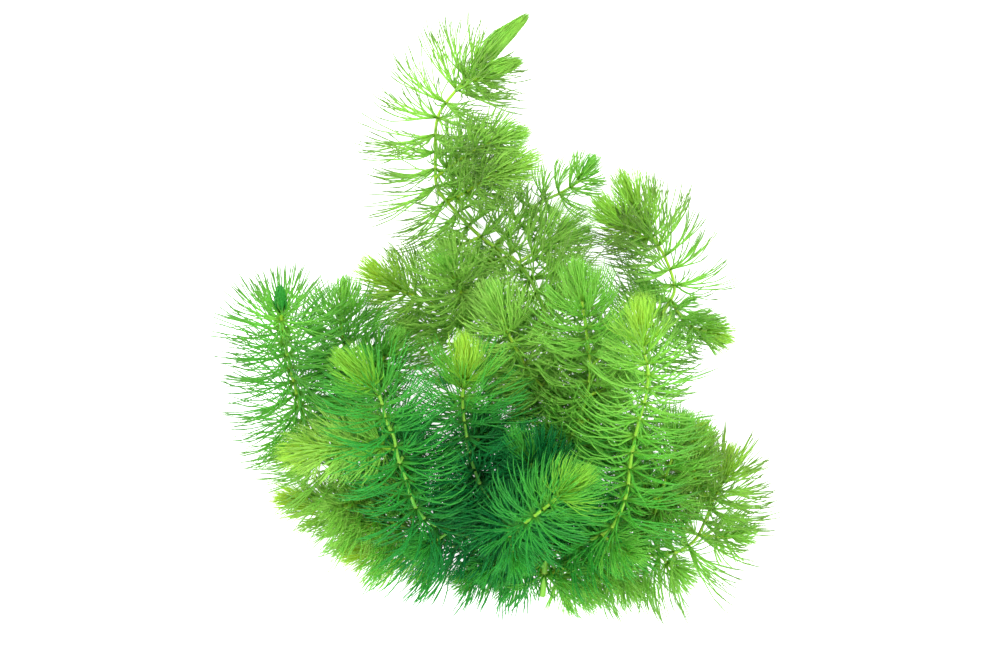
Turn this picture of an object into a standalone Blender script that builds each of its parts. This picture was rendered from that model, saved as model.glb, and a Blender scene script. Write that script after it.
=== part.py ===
"""Hornwort (Ceratophyllum demersum): one cut, much-branched water plant lying on a flat surface.

Each shoot is one closed solid: a six- or five-sided stem, whorls of forked leaves drawn out of its
sides, and a closed bud at its tip. A side shoot is a solid of its own from its fork on.
Lengths are in millimetres. X runs to the right of the plant as it lies, Y from the cut end to the
tips, and Z up from the surface that it rests on.
"""

import math
import random

import bpy
import numpy as np

MM = 0.001

# Plan centre of the finished plant, which becomes the origin
CENTRE_X = -0.4
CENTRE_Y = 80.7

# Stems
TIP_RADIUS = 0.42
STEM_RADIUS = 0.55
BASE_RADIUS = 1.0
GROWING_LENGTH = 45.0
THICKENING_LENGTH = 210.0
FORK_GAP = 0.3
FORK_LOOK_AHEAD = 4.0

# The curve through a route's points
CURVE_STEPS = 40
ROUTE_STEP = 0.5

# Whorls of leaves
WHORL_HEIGHT = 1.2
WHORL_SWELLING = 1.12
FIRST_INTERNODE = 3.9
INTERNODE_GROWTH = 1.13
LONGEST_INTERNODE = 12.5
BARE_CUT_END = 9.0
BARE_FORK = 3.5
OLD_LENGTH = 55.0
OLDEST_SIZE = 0.5
MAIN_LEAVES = 6
SIDE_LEAVES = 5
SHORT_PARENT = 160.0
TWIST_PER_WHORL = 27.0
FIRST_TURN = 60.0

# Leaves
YOUNG_LEAF = 17.0
FULL_LEAF = 26.5
LEAF_RIPENING = 8.0
YOUNG_OPENING = 30.0
FULL_OPENING = 76.0
OPENING_LENGTH = 6.0
OPENING_VARIATION = 7.0
LENGTH_VARIATION = (0.86, 1.06)
FORK_SPREAD = 9.0
SECOND_PRONG = (0.82, 0.96)
LEAF_ROOT_RADIUS = 0.55
LEAF_TIP_RADIUS = 0.03
LEAST_LEAF = 5.0

# How a leaf is shortened or bent aside (turn, tilt in degrees) until it is clear of its neighbours
PRONG_SHARES = (1.0, 0.85, 0.7, 0.5, 0.35)
PRONG_BENDS = ((0, 0), (4, 0), (-4, 0), (0, 8), (0, -8), (7, 6), (-7, -6), (5, -12), (-5, 12))
LEAF_CLEARANCE = 0.3
OWN_CLEARANCE = 0.1
LEAF_ROOT_SHARE = 0.15
STEM_ROD_LENGTH = 3.0
STEM_ROD_WIDTH = 1.15

# Buds, as shares of their length and of their greatest radius
BUD_PROFILE = ((0.28, 1.0), (0.62, 0.72))
BUD_TIP_WIDTH = 0.6

# Greens from the youngest shoots to the oldest
YOUNG_GREEN = (0.30, 0.56, 0.05)
OLD_GREEN = (0.03, 0.20, 0.05)
LEAF_ROUGHNESS = 0.45
SHARP_ANGLE = 50.0

# The first shoot's seed for what differs from leaf to leaf
FIRST_SEED = 100

# Each shoot: the shoot it forks from, its bud (length, radius), the size of its leaves, how old it
# looks from 0 to 1, and its route from the tip of the bud down to the fork or the cut end
SHOOTS = {
    "main_stem_top": (
        None, (25, 3.0), 1.08, 0.35,
        [(10.6, 177.3, 24), (-6.6, 160.8, 23), (-12.8, 153.0, 22), (-18.9, 144.3, 21), (-19.8, 131.5, 20),
         (-19.2, 121.3, 20), (-15.0, 115.5, 20), (-5.4, 105.6, 21), (7.4, 96.3, 24), (14.1, 84.2, 29),
         (17.0, 73.3, 32), (18.9, 59.5, 34), (20.2, 43.5, 33), (18.9, 27.5, 30), (17.0, 11.5, 26),
         (15.4, 0.0, 22), (14.6, -10.0, 17.5)],
    ),
    "side_shoot_top": (
        "main_stem_top", (15, 2.3), 0.55, 0.2,
        [(8.2, 161.6, 33), (1.0, 159.2, 32), (-5.6, 156.6, 29), (-13.2, 152.4, 22)],
    ),
    "side_shoot_middle": (
        "main_stem_top", (14, 2.6), 0.8, 0.25,
        [(13.4, 130.2, 31), (5.1, 127.4, 30), (-3.2, 124.2, 28), (-9.6, 120.0, 25), (-16.0, 116.4, 20)],
    ),
    "side_shoot_upper_middle": (
        "main_stem_top", (12, 2.2), 0.75, 0.25,
        [(9.9, 139.0, 29), (-0.5, 136.0, 28), (-10.0, 131.4, 25), (-19.2, 124.8, 20)],
    ),
    "branch_upper_middle": (
        "main_stem_top", (11, 2.0), 0.9, 0.4,
        [(29.5, 107.4, 21), (21.6, 105.2, 22), (14.4, 101.6, 23), (6.4, 97.0, 23.5)],
    ),
    "branch_upper_right": (
        "main_stem_top", (18, 3.0), 1.0, 0.3,
        [(39.7, 126.1, 26), (43.8, 116.8, 24), (48.6, 107.8, 22), (54.4, 97.9, 21), (57.0, 88.3, 20),
         (54.7, 83.5, 20), (50.6, 77.1, 20), (45.8, 69.1, 20), (39.4, 57.9, 20), (34.6, 43.5, 20),
         (31.0, 28.5, 20), (27.5, 17.0, 20), (16.6, 8.5, 25.0)],
    ),
    "side_shoot_upper_right": (
        "branch_upper_right", (15, 2.6), 0.6, 0.25,
        [(31.0, 117.1, 33), (36.2, 112.6, 31), (41.0, 108.2, 28), (51.1, 103.5, 21.6)],
    ),
    "side_shoot_far_right": (
        "branch_upper_right", (9, 1.5), 0.55, 0.3,
        [(76.2, 72.3, 19), (68.8, 74.6, 19), (62.4, 76.6, 19), (56.0, 84.6, 20)],
    ),
    "branch_right": (
        "main_stem_top", (15, 3.0), 1.0, 0.2,
        [(44.8, 85.1, 70), (46.1, 70.7, 67), (47.7, 62.7, 65), (47.4, 56.3, 63), (45.8, 49.9, 61),
         (44.2, 43.5, 59), (42.6, 35.5, 56), (41.9, 29.1, 53), (41.0, 23.0, 50), (36.8, 13.1, 44),
         (28.5, 8.0, 34), (15.9, 3.5, 23.2)],
    ),
    "branch_lower_right": (
        "main_stem_top", (10, 2.0), 1.0, 0.35,
        [(74.9, 37.8, 27), (73.0, 28.2, 23), (69.4, 20.5, 20), (66.6, 13.4, 18), (63.7, 8.0, 17),
         (58.9, 4.6, 17), (52.2, 3.2, 16), (42.6, 2.6, 16), (30.0, 1.6, 16), (15.2, -3.5, 20.5)],
    ),
    "side_shoot_lower_right": (
        "branch_lower_right", (8, 1.4), 0.6, 0.15,
        [(66.9, 45.1, 38), (64.3, 41.0, 36), (63.2, 33.9, 34), (63.6, 27.5, 30), (69.0, 19.8, 20)],
    ),
    "branch_right_inner": (
        "branch_lower_right", (10, 1.9), 0.85, 0.45,
        [(60.2, 49.3, 42), (57.9, 40.3, 40), (54.7, 31.4, 37), (52.2, 21.8, 33), (49.0, 13.6, 27),
         (42.0, 2.6, 16)],
    ),
    "branch_left": (
        "main_stem_top", (12, 1.9), 1.08, 0.4,
        [(-68.5, 89.9, 63), (-68.5, 82.0, 54), (-68.2, 76.0, 48), (-66.8, 67.5, 42), (-64.8, 58.7, 37),
         (-62.6, 49.9, 31), (-58.0, 39.0, 26), (-51.0, 28.5, 21), (-40.6, 17.9, 18), (-27.8, 11.3, 16),
         (-13.4, 6.0, 15), (0.0, 2.6, 16.5), (15.5, 0.0, 22)],
    ),
    "branch_front": (
        "main_stem_top", (19, 3.0), 1.0, 0.1,
        [(-50.9, 68.5, 79), (-43.8, 62.4, 75), (-37.1, 54.7, 70), (-34.9, 46.7, 67), (-32.6, 41.9, 65),
         (-31.7, 37.1, 63), (-30.4, 32.3, 61), (-28.5, 27.5, 59), (-27.2, 22.7, 56), (-24.0, 16.7, 50),
         (-16.0, 11.7, 42), (-3.0, 8.6, 33), (16.2, 5.5, 24.0)],
    ),
    "side_shoot_front": (
        "branch_front", (14, 2.6), 0.8, 0.1,
        [(-68.5, 34.6, 47), (-59.8, 37.1, 49), (-50.2, 38.7, 52), (-40.6, 39.0, 57), (-31.8, 37.8, 63)],
    ),
    "branch_back_left": (
        "main_stem_top", (16, 3.0), 0.95, 0.15,
        [(-43.2, 97.3, 26), (-37.4, 92.5, 23), (-31.0, 88.3, 21), (-21.4, 84.2, 19), (-13.4, 77.1, 18),
         (-7.0, 65.9, 18), (-2.2, 53.1, 18), (2.6, 40.7, 19), (8.0, 27.3, 20), (17.6, 16.5, 27.4)],
    ),
    "side_shoot_back": (
        "branch_back_left", (9, 1.6), 0.85, 0.8,
        [(-19.4, 99.4, 40), (-15.6, 95.6, 37), (-12.4, 89.9, 32), (-10.4, 82.5, 26), (-12.0, 75.0, 18)],
    ),
    "branch_middle": (
        "main_stem_top", (16, 2.6), 1.0, 0.3,
        [(-11.5, 73.9, 67), (-9.9, 64.3, 62), (-10.9, 53.8, 57), (-9.9, 43.5, 53), (-7.0, 30.7, 50),
         (-2.2, 21.5, 46), (4.2, 16.5, 39), (17.0, 12.0, 26.2)],
    ),
    "side_shoot_bottom": (
        "branch_middle", (15, 2.8), 0.95, 0.1,
        [(29.1, 31.4, 82), (24.0, 27.5, 79), (17.0, 21.1, 74), (9.5, 15.2, 67), (4.6, 12.6, 59),
         (1.0, 18.8, 42.5)],
    ),
    "branch_lower_left": (
        "branch_left", (15, 2.8), 0.85, 0.1,
        [(-71.0, 21.1, 15), (-63.0, 20.2, 12), (-53.4, 17.6, 11), (-43.8, 14.0, 12), (-30.0, 12.2, 16.3)],
    ),
    "side_shoot_lower_left": (
        "branch_left", (12, 2.3), 0.75, 0.15,
        [(-50.5, 3.4, 12), (-43.6, 4.4, 10), (-35.6, 5.0, 9), (-26.4, 4.6, 11), (-17.0, 7.2, 15.3)],
    ),
    "branch_back_right": (
        "main_stem_top", (10, 1.7), 0.8, 0.65,
        [(32.0, 131.5, 20), (26.2, 123.5, 18), (20.5, 119.7, 17), (14.7, 117.0, 17), (9.6, 113.6, 18),
         (-1.0, 101.8, 22)],
    ),
    "branch_centre_right": (
        "main_stem_top", (13, 2.5), 0.9, 0.45,
        [(26.0, 97.4, 54), (26.8, 86.7, 52), (28.0, 77.1, 51), (29.4, 67.5, 49), (29.2, 57.9, 46),
         (26.8, 48.3, 42), (19.8, 34.0, 32)],
    ),
    "branch_centre": (
        "main_stem_top", (12, 2.2), 0.9, 0.7,
        [(-1.6, 90.9, 46), (1.0, 82.4, 45), (4.8, 72.0, 43), (10.6, 62.0, 39), (19.4, 52.0, 33.5)],
    ),
    "branch_centre_low": (
        "main_stem_top", (13, 2.2), 0.9, 0.8,
        [(5.4, 44.3, 60), (9.4, 35.7, 57), (12.6, 29.5, 51), (15.6, 24.0, 42), (18.3, 21.0, 28.5)],
    ),
    "branch_left_inner": (
        "branch_left", (13, 2.2), 0.95, 0.6,
        [(-48.6, 92.6, 31), (-49.9, 80.3, 28), (-49.0, 69.8, 25), (-45.4, 57.9, 20), (-40.6, 45.1, 17),
         (-37.4, 30.7, 16), (-34.5, 15.0, 17.2)],
    ),
    "side_shoot_left_inner": (
        "branch_left_inner", (11, 2.0), 0.85, 0.4,
        [(-30.6, 75.0, 38), (-35.2, 68.0, 33), (-40.2, 61.4, 26), (-45.0, 56.8, 19.6)],
    ),
}


def smooth_route(points):
    """A curve through all the points, read at short equal steps from the base up to the tip."""
    p = np.array(points[::-1], float)
    p = np.vstack([2 * p[0] - p[1], p, 2 * p[-1] - p[-2]])
    dense = []
    for a, b, c, d in zip(p, p[1:], p[2:], p[3:]):
        knots = np.cumsum([0.0] + [math.sqrt(np.linalg.norm(v - u)) for u, v in ((a, b), (b, c), (c, d))])
        for t in np.linspace(knots[1], knots[2], CURVE_STEPS, endpoint=False):
            dense.append(catmull_rom((a, b, c, d), knots, t))
    dense.append(p[-2])
    dense = np.array(dense)
    run = np.concatenate([[0.0], np.cumsum(np.linalg.norm(np.diff(dense, axis=0), axis=1))])
    count = max(2, int(round(run[-1] / ROUTE_STEP)))
    at = np.linspace(0.0, run[-1], count + 1)
    return np.column_stack([np.interp(at, run, dense[:, i]) for i in range(3)]), at


def catmull_rom(corners, knots, t):
    """The point at t of the centripetal curve through four corners."""
    level = list(corners)
    for width in (1, 2, 3):
        level = [blend_between(level[i], level[i + 1], knots, i, width, t) for i in range(4 - width)]
    return level[0]


def blend_between(start, end, knots, i, width, t):
    low, high = (knots[i], knots[i + width]) if width < 3 else (knots[1], knots[2])
    return (start * (high - t) + end * (t - low)) / (high - low)


def unit(v):
    return v / np.linalg.norm(v)


class Stem:
    """A shoot's axis: places, directions and a side that turns as little as possible along it."""

    def __init__(self, points):
        self.places, self.run = smooth_route(points)
        self.length = self.run[-1]
        self.ways = np.gradient(self.places, axis=0)
        self.ways /= np.linalg.norm(self.ways, axis=1)[:, None]
        side = unit(np.cross(self.ways[0], (0.0, 0.0, 1.0)))
        self.sides = [side]
        for way in self.ways[1:]:
            side = unit(side - way * (side @ way))
            self.sides.append(side)
        self.sides = np.array(self.sides)

    def at(self, run):
        """The place, the way to the tip and the side at a distance from the base."""
        i = int(np.clip(np.searchsorted(self.run, run), 1, len(self.run) - 1))
        share = (run - self.run[i - 1]) / (self.run[i] - self.run[i - 1])
        place, way, side = (v[i - 1] * (1 - share) + v[i] * share for v in (self.places, self.ways, self.sides))
        return place, unit(way), unit(side)

    def nearest_run(self, point):
        """How far along the stem its nearest place to a point is."""
        return self.run[int(np.linalg.norm(self.places - point, axis=1).argmin())]

    def radius(self, run):
        """The stem thickens from its tip to its base, and with the plant's age."""
        below_tip = self.length - run
        grown = min(1.0, below_tip / GROWING_LENGTH)
        aged = min(1.0, below_tip / THICKENING_LENGTH)
        return TIP_RADIUS + (STEM_RADIUS - TIP_RADIUS) * grown + (BASE_RADIUS - STEM_RADIUS) * aged

    def ring(self, run, radius, turn, count):
        """Corners around the stem, anticlockwise as seen from the tip."""
        place, way, side = self.at(run)
        other = np.cross(way, side)
        corners = []
        for i in range(count):
            angle = math.radians(turn) + 2 * math.pi * i / count
            corners.append(place + radius * (math.cos(angle) * side + math.sin(angle) * other))
        return corners

    def leaf_way(self, run, turn, opening):
        """The way of a leaf that stands off the stem by the opening, at a turn around it."""
        _, way, side = self.at(run)
        out = math.cos(math.radians(turn)) * side + math.sin(math.radians(turn)) * np.cross(way, side)
        return math.cos(math.radians(opening)) * way + math.sin(math.radians(opening)) * out


class Crowd:
    """Every tapering rod placed so far, so that each new leaf is laid clear of the others."""

    STEM = -9

    def __init__(self):
        self.rods = np.zeros((0, 10))

    def add(self, start, end, start_radius, end_radius, owner, whorl):
        self.rods = np.vstack([self.rods, [*start, *(end - start), start_radius, end_radius, owner, whorl]])

    def is_clear(self, start, end, start_radius, end_radius, owner, whorl):
        """Whether a rod has the clearance that it needs from all the others."""
        q, e, others = self.rods[:, :3], self.rods[:, 3:6], self.rods
        d = end - start
        r = start - q
        a, ee = d @ d, np.einsum("ij,ij->i", e, e)
        b, c, f = e @ d, r @ d, np.einsum("ij,ij->i", e, r)
        s = np.clip((b * f - c * ee) / np.maximum(a * ee - b * b, 1e-9), 0.0, 1.0)
        t = np.clip((b * s + f) / ee, 0.0, 1.0)
        s = np.clip((b * t - c) / a, 0.0, 1.0)
        apart = np.linalg.norm(r + s[:, None] * d - t[:, None] * e, axis=1)
        thick = start_radius * (1 - s) + end_radius * s + others[:, 6] * (1 - t) + others[:, 7] * t
        own = others[:, 8] == owner
        space = apart - thick - np.where(own, OWN_CLEARANCE, LEAF_CLEARANCE)
        own_root = own & (others[:, 9] == self.STEM) & (s < LEAF_ROOT_SHARE)
        same_whorl = own & (others[:, 9] == whorl)
        return bool((space[~(own_root | same_whorl)] > 0).all())


def grow_stems():
    """The axis of every shoot. A side shoot's starts on the axis of the shoot that it forks from."""
    stems = {}
    for name, (parent, _, _, _, points) in SHOOTS.items():
        if parent:
            fork = stems[parent].at(stems[parent].nearest_run(points[-1]))[0]
            points = points[:-1] + [tuple(fork)]
        stems[name] = Stem(points)
    return stems


def fork_start(stem, parent):
    """How far along a side shoot its solid starts, to leave the gap at the fork."""
    parent_run = parent.nearest_run(stem.places[0])
    parent_way = parent.at(parent_run)[1]
    cosine = abs(float(parent_way @ stem.at(FORK_LOOK_AHEAD)[1]))
    sine = math.sqrt(1 - cosine * cosine)
    return (parent.radius(parent_run) + FORK_GAP + stem.radius(0.0) * cosine) / sine


def whorl_runs(stem, lowest, bud_length):
    """Where the whorls stand, from the one under the bud down to the lowest that the shoot bears."""
    runs = []
    run = stem.length - bud_length - WHORL_HEIGHT
    internode = FIRST_INTERNODE
    while run > lowest:
        runs.append(run)
        run -= internode
        internode = min(internode * INTERNODE_GROWTH, LONGEST_INTERNODE)
    return runs


def leaf_law(above_base, below_bud, size):
    """A leaf's length and how far it stands off the stem, from where its whorl is on the shoot."""
    ripe = 1 - math.exp(-below_bud / LEAF_RIPENING)
    opened = 1 - math.exp(-below_bud / OPENING_LENGTH)
    worn = OLDEST_SIZE + (1 - OLDEST_SIZE) * min(1.0, above_base / OLD_LENGTH)
    length = size * min(YOUNG_LEAF + (FULL_LEAF - YOUNG_LEAF) * ripe, FULL_LEAF * worn)
    return length, YOUNG_OPENING + (FULL_OPENING - YOUNG_OPENING) * opened


def prong(stem, run, root, turn, opening, length, crowd, owner, whorl):
    """The tip of one prong of a leaf, laid clear of what is already there, or None."""
    for share in PRONG_SHARES:
        for shift, tilt in PRONG_BENDS:
            if length * share < LEAST_LEAF:
                continue
            tip = root + length * share * stem.leaf_way(run, turn + shift, opening + tilt)
            tip[2] = max(tip[2], 0.0)
            if crowd.is_clear(root, tip, LEAF_ROOT_RADIUS, LEAF_TIP_RADIUS, owner, whorl):
                return tip
    return None


class Skin:
    """Corners and faces of one closed solid."""

    def __init__(self):
        self.corners = []
        self.faces = []

    def add_corners(self, corners):
        first = len(self.corners)
        self.corners.extend(corners)
        return list(range(first, len(self.corners)))

    def tube(self, low, high):
        """Triangles between two rings with as many corners."""
        count = len(low)
        for i in range(count):
            j = (i + 1) % count
            self.faces += [(low[i], low[j], high[j]), (low[i], high[j], high[i])]

    def spike(self, base, tip):
        """A triangle of the surface drawn out to a point."""
        point = self.add_corners([tip])[0]
        for i in range(3):
            self.faces.append((base[i], base[(i + 1) % 3], point))


def add_whorl(skin, stem, run, turn, count, below_bud, size, crowd, owner, whorl, rng):
    """A band of the stem with a forked leaf drawn out of each of its sides."""
    radius = stem.radius(run) * WHORL_SWELLING
    low = skin.add_corners(stem.ring(run - WHORL_HEIGHT / 2, radius, turn, count))
    high = skin.add_corners(stem.ring(run + WHORL_HEIGHT / 2, radius, turn, count))
    length, opening = leaf_law(run, below_bud, size)
    for i in range(count):
        j = (i + 1) % count
        middle = turn + 360.0 * (i + 0.5) / count
        long = length * rng.uniform(*LENGTH_VARIATION)
        tilt = opening + rng.uniform(-OPENING_VARIATION, OPENING_VARIATION)
        halves = (
            ((low[i], low[j], high[j]), middle + FORK_SPREAD, 1.0),
            ((low[i], high[j], high[i]), middle - FORK_SPREAD, rng.uniform(*SECOND_PRONG)),
        )
        for base, way, share in halves:
            root = np.mean([skin.corners[k] for k in base], axis=0)
            tip = prong(stem, run, root, way, tilt, long * share, crowd, owner, whorl)
            if tip is None:
                skin.faces.append(base)
                continue
            skin.spike(base, tip)
            crowd.add(root, tip, LEAF_ROOT_RADIUS, LEAF_TIP_RADIUS, owner, whorl)
    return low, high


def grow_shoot(stem, parent, bud, size, crowd, owner, rng):
    """The closed solid of one shoot, from its cut or forked end to the tip of its bud."""
    start = fork_start(stem, parent) if parent else 0.0
    bud_length, bud_radius = bud
    count = SIDE_LEAVES if parent and parent.length < SHORT_PARENT else MAIN_LEAVES
    skin = Skin()
    turn = rng.uniform(0, FIRST_TURN)
    last = skin.add_corners(stem.ring(start, stem.radius(start), turn, count))
    skin.faces.append(tuple(last[::-1]))
    runs = whorl_runs(stem, start + (BARE_FORK if parent else BARE_CUT_END), bud_length)
    for whorl, run in enumerate(reversed(runs)):
        turn += TWIST_PER_WHORL
        below_bud = stem.length - bud_length - run
        low, high = add_whorl(skin, stem, run, turn, count, below_bud, size, crowd, owner, whorl, rng)
        skin.tube(last, low)
        last = high
    for share, width in BUD_PROFILE:
        run = stem.length - bud_length * (1 - share)
        ring = skin.add_corners(stem.ring(run, bud_radius * width, turn, count))
        skin.tube(last, ring)
        last = ring
    tip = skin.add_corners([stem.at(stem.length)[0]])[0]
    for i in range(count):
        skin.faces.append((last[i], last[(i + 1) % count], tip))
    return skin


def crowd_of_stems(stems, crowd):
    """Stems and buds are in place before any leaf is laid."""
    for owner, (name, (_, (bud_length, bud_radius), _, _, _)) in enumerate(SHOOTS.items()):
        stem = stems[name]
        bud_base = stem.length - bud_length
        knots = list(np.arange(0.0, bud_base, STEM_ROD_LENGTH)) + [bud_base]
        for low, high in zip(knots, knots[1:]):
            radii = (stem.radius(low) * STEM_ROD_WIDTH, stem.radius(high) * STEM_ROD_WIDTH)
            crowd.add(stem.at(low)[0], stem.at(high)[0], *radii, owner, crowd.STEM)
        tip = stem.at(stem.length)[0]
        crowd.add(stem.at(bud_base)[0], tip, bud_radius, bud_radius * BUD_TIP_WIDTH, owner, crowd.STEM)


def leaf_material(name, age):
    """A plain green between that of a young shoot and that of an old one."""
    material = bpy.data.materials.new(name + "_green")
    material.use_nodes = True
    shader = material.node_tree.nodes["Principled BSDF"]
    colour = [y * (1 - age) + o * age for y, o in zip(YOUNG_GREEN, OLD_GREEN)]
    shader.inputs["Base Color"].default_value = (*colour, 1.0)
    shader.inputs["Roughness"].default_value = LEAF_ROUGHNESS
    shader.inputs["Metallic"].default_value = 0.0
    material.diffuse_color = (*colour, 1.0)
    return material


def make_object(name, skin, origin, age, plant):
    """The shoot as an object with its own origin at its base, under the plant's empty."""
    mesh = bpy.data.meshes.new(name)
    corners = (np.array(skin.corners) - origin) * MM
    mesh.from_pydata([tuple(c) for c in corners], [], skin.faces)
    mesh.materials.append(leaf_material(name, age))
    mesh.validate()
    mesh.shade_smooth()
    mesh.set_sharp_from_angle(angle=math.radians(SHARP_ANGLE))
    shoot = bpy.data.objects.new(name, mesh)
    shoot.location = origin * MM
    shoot.parent = plant
    bpy.context.scene.collection.objects.link(shoot)


def main():
    for old in list(bpy.data.objects):
        bpy.data.objects.remove(old, do_unlink=True)
    plant = bpy.data.objects.new("hornwort", None)
    plant.location = (-CENTRE_X * MM, -CENTRE_Y * MM, 0.0)
    bpy.context.scene.collection.objects.link(plant)

    stems = grow_stems()
    crowd = Crowd()
    crowd_of_stems(stems, crowd)
    for owner, (name, (parent, bud, size, age, _)) in enumerate(SHOOTS.items()):
        rng = random.Random(FIRST_SEED + owner)
        stem = stems[name]
        skin = grow_shoot(stem, stems.get(parent), bud, size, crowd, owner, rng)
        make_object(name, skin, stem.places[0], age, plant)


main()
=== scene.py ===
"""Hornwort (Ceratophyllum demersum): one cut, much-branched water plant lying on a pale surface.

Every shoot gets its own leafy piece in place of its plain solid: a ribbed stem with swollen nodes,
whorls of thread-like leaves that fork twice and bear small teeth, short side twigs, and a bud or a
brush of young leaves.
Lengths are in millimetres until a mesh is made. X runs to the right, Y from the cut end to the tips
and Z up from the surface.
"""

import math

import bpy
import numpy as np
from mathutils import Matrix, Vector


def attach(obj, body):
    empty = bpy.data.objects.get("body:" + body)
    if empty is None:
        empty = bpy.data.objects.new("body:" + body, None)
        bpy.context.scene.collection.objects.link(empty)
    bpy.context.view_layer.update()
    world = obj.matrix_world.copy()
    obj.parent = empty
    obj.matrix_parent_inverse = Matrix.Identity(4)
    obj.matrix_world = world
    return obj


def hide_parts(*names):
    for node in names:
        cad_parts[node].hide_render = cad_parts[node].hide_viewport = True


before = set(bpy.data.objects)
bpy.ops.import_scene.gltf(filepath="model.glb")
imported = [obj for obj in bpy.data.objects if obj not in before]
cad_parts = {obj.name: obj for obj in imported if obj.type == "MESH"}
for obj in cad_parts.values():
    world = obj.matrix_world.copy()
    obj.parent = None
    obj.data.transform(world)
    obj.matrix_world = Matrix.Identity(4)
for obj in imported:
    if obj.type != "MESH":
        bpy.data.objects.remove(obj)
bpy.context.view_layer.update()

MM = 0.001

# Plan centre of the plant in the routes' own coordinates, and the plant's body in the frame
CENTRE = np.array([-0.4, 80.7, 0.0])
BODY = "root"

# Stems
TIP_RADIUS = 0.42
STEM_RADIUS = 0.5
BASE_RADIUS = 1.0
GROWING_LENGTH = 45.0
THICKENING_LENGTH = 210.0
ROUTE_STEP = 0.5
CURVE_STEPS = 40
STEM_SIDES = 10
ROUND_STEM = [(k, (k + 1) % STEM_SIDES) for k in range(STEM_SIDES)]
STEM_RING_STEP = 1.0
RIB_COUNT = 5
RIB_HEIGHT = 0.045
NODE_SWELLING = 0.24
NODE_HALF_HEIGHT = 0.75
NODE_REACH = 0.6 * NODE_HALF_HEIGHT
NODE_TINT_REACH = 0.6
FORK_FLARE = 0.5
FORK_FLARE_LENGTH = 1.3
CUT_RIM = 0.86
CUT_DEPTH = 0.25

# Whorls of open leaves, and how they change from the bud down to the cut end
FIRST_INTERNODE = 2.4
INTERNODE_GROWTH = 1.16
LONGEST_INTERNODE = 4.9
CLOSED_BUD_GAP = 0.6
BARE_CUT_END = 7.0
BARE_FORK = 2.4
OLD_LENGTH = 45.0
OLDEST_SIZE = 0.68
WHORL_LEAVES = 13
HEART_LEAVES = 4
TWIST_PER_WHORL = 23.0

# Leaves
YOUNG_LEAF = 18.0
FULL_LEAF = 26.5
LEAF_RIPENING = 6.0
YOUNG_OPENING = 34.0
FULL_OPENING = 76.0
OPENING_LENGTH = 8.0
YOUNG_ARCH = 17.0
FULL_ARCH = 26.0
FIRST_FORK = 0.18
SECOND_FORK = 0.37
ARM_RING = 0.30
TIP_RINGS = (0.62, 0.82)
YOUNG_TIP_RINGS = (0.72,)
FIRST_SPREAD = 7.6
SECOND_SPREAD = 5.5
CLOSED_SPREAD = 0.15
PARTING = 1.6
FIRST_EASING = 1.3
SECOND_EASING = 1.2
LEAF_RADIUS = 0.305
YOUNG_WIDTH = 0.8
RIPENED_WIDTH = 0.2
ROOT_WIDE = 1.1
FORK_WIDE = 1.3
LEAF_FOOT = 1.18
TIP_SHARE = 0.46
TIP_TAPER = 0.8
LEAF_WIDTH = 1.2
LEAF_HEIGHT = 0.85
LEAF_INSET = 0.8
TOOTH_LENGTH = 0.28
TOOTH_OUTWARD = 0.75
TOOTH_FORWARD = 0.65
YOUNG_ALONG = 0.6
CORE_ALONG = 0.3
FLOOR_GAP = 0.12
FLOOR_SOFTNESS = 0.7
FLOOR_BEND = 5 * FLOOR_SOFTNESS

# How far chance takes a leaf from the others of its whorl, and a whorl from the others of its shoot
LENGTH_CHANCE = (-0.22, 0.1)
OPENING_CHANCE = (-11.0, 11.0)
ARCH_CHANCE = (-14.0, 12.0)
SWAY_CHANCE = (-13.0, 13.0)
FIRST_SPREAD_CHANCE = (0.6, 1.4)
SECOND_SPREAD_CHANCE = (0.4, 1.6)
ROLL_CHANCE = (-75.0, 75.0)
AGE_CHANCE = (-0.06, 0.06)
PRONG_CHANCE = (0.84, 1.0)
TURN_CHANCE = (-7.0, 7.0)
WHORL_CHANCE = (0.92, 1.04)
SLACK_CHANCE = (-9.0, 9.0)

# Buds of closed leaves, and loose ones like brushes
BUD_WHORL_START = 0.5
BUD_WHORL_STEP = 1.4
BUD_LEAVES = 7
THIN_BUD_LEAVES = 5
BUD_LEAVES_END = 0.52
BUD_BOW = 3.5
BUD_TAPER = 1.3
BUD_FREEDOM = 0.05
BUD_REACH = 1.12
BUD_LEAF_WIDTH = (0.5, 0.2)
BUD_CORE = 0.7
CORE_RINGS = (0.06, 0.16, 0.3, 0.45, 0.6, 0.75, 0.87, 0.95)
CORE_SKEW = 0.85
CORE_END = 0.4
OUTER_SHORT = 0.34
BRUSH_HEART = 0.55
BRUSH_TIP = 5.5
BRUSH_CLOSED = 6.0
BRUSH_OPENING = 42.0
BRUSH_ARCH = 14.0
BRUSH_FREEDOM = 1.9
BRUSH_CORE = 0.24

# Short side twigs on the crowded part of the shoots
TWIG_LENGTH = 17.0
TWIG_LENGTH_CHANCE = (0.8, 1.15)
TWIG_BUD = (8.0, 1.5)
TWIG_LEAF_SIZE = 0.62
TWIG_LEAVES = 9
TWIG_CLOSED = 0.1
TWIG_WHORL_CHANCE = (0.9, 1.05)
TWIG_LEAN = 55.0
TWIG_LEAN_CHANCE = (-10.0, 10.0)
TWIG_TURN_CHANCE = (0.0, 0.5)
TWIG_BEND = 0.22
TWIG_KNEE = 0.55
TWIG_FREE = 20.0
TWIG_CROWD = 0.15
TWIG_THICKET = 0.3
TWIG_EVERY = 3
THICKET_EVERY = 2
TWIG_REACH = 76.0
TWIG_LOWEST = 4.0
TWIG_HIGHEST = 84.0
TWIG_SIDES = 12
TWIG_UPWARD = 0.35
TWIG_AGE = 0.08
TWIG_YOUNG_AGE = 0.8
TWIG_PLAN = (1.0, 1.0, 0.6)

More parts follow.
